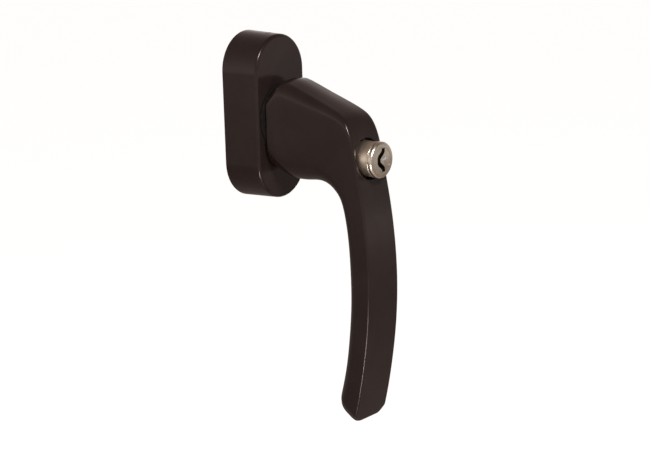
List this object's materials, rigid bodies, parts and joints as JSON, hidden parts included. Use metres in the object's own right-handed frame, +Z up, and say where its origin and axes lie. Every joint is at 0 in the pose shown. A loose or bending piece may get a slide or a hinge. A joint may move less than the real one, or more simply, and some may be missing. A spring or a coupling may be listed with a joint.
{
  "type": "locking window handle",
  "caption": "Cast window handle on an oval rosette, with a push cylinder lock in its neck and a square socket for the spindle.",
  "frame": {"origin": "on the spindle axis, at the back face of the rosette that lies on the sash", "axes": "+Y along the spindle into the sash, +Z up along the rosette, the grip hanging down along -Z and standing out along -Y"},
  "size_m": [0.0304, 0.0702, 0.1518],
  "materials": {
    "brown_paint": "satin gloss dark brown lacquer on cast aluminium",
    "dark_plastic": "matt dark brown moulded plastic",
    "zinc": "plain die-cast zinc",
    "steel": "zinc-plated steel",
    "spring_steel": "blank spring steel",
    "white_plastic": "natural slide plastic",
    "brass": "turned brass",
    "nickel": "satin nickel plating"
  },
  "bodies": {
    "rosette": {"base_plate": "zinc", "rosette_cover": "brown_paint", "guide_ring": "dark_plastic", "locking_disc": "steel", "detent_leaf_left": "spring_steel", "detent_leaf_right": "spring_steel"},
    "lever": {"handle": "brown_paint", "drive_tail": "steel", "detent_cam": "steel", "thrust_washer": "white_plastic", "retaining_clip": "spring_steel", "lock_sleeve": "brass", "return_spring": "spring_steel"},
    "push_cylinder": {"lock_barrel": "nickel", "plug_pin": "steel", "locking_pin": "steel", "latch_spring": "spring_steel"},
    "plug": {"key_plug": "nickel", "guard_pin": "steel", "wafer_1": "brass", "wafer_2": "brass", "wafer_3": "brass", "wafer_4": "brass", "wafer_5": "brass"}
  },
  "joints": [
    {"name": "handle_turn", "type": "hinge", "parent": "rosette", "child": "lever", "pos_m": [0, 0, 0], "axis": [0, -1, 0], "range_deg": [0, 180], "deforming": ["detent_leaf_left", "detent_leaf_right"]},
    {"name": "cylinder_push", "type": "slide", "parent": "lever", "child": "push_cylinder", "axis": [0, 1, 0], "range_m": [0, 0.0055], "deforming": ["return_spring", "latch_spring"]},
    {"name": "key_turn", "type": "hinge", "parent": "push_cylinder", "child": "plug", "pos_m": [0, -0.06, -0.0127], "axis": [0, -1, 0], "range_deg": [0, 90]}
  ]
}
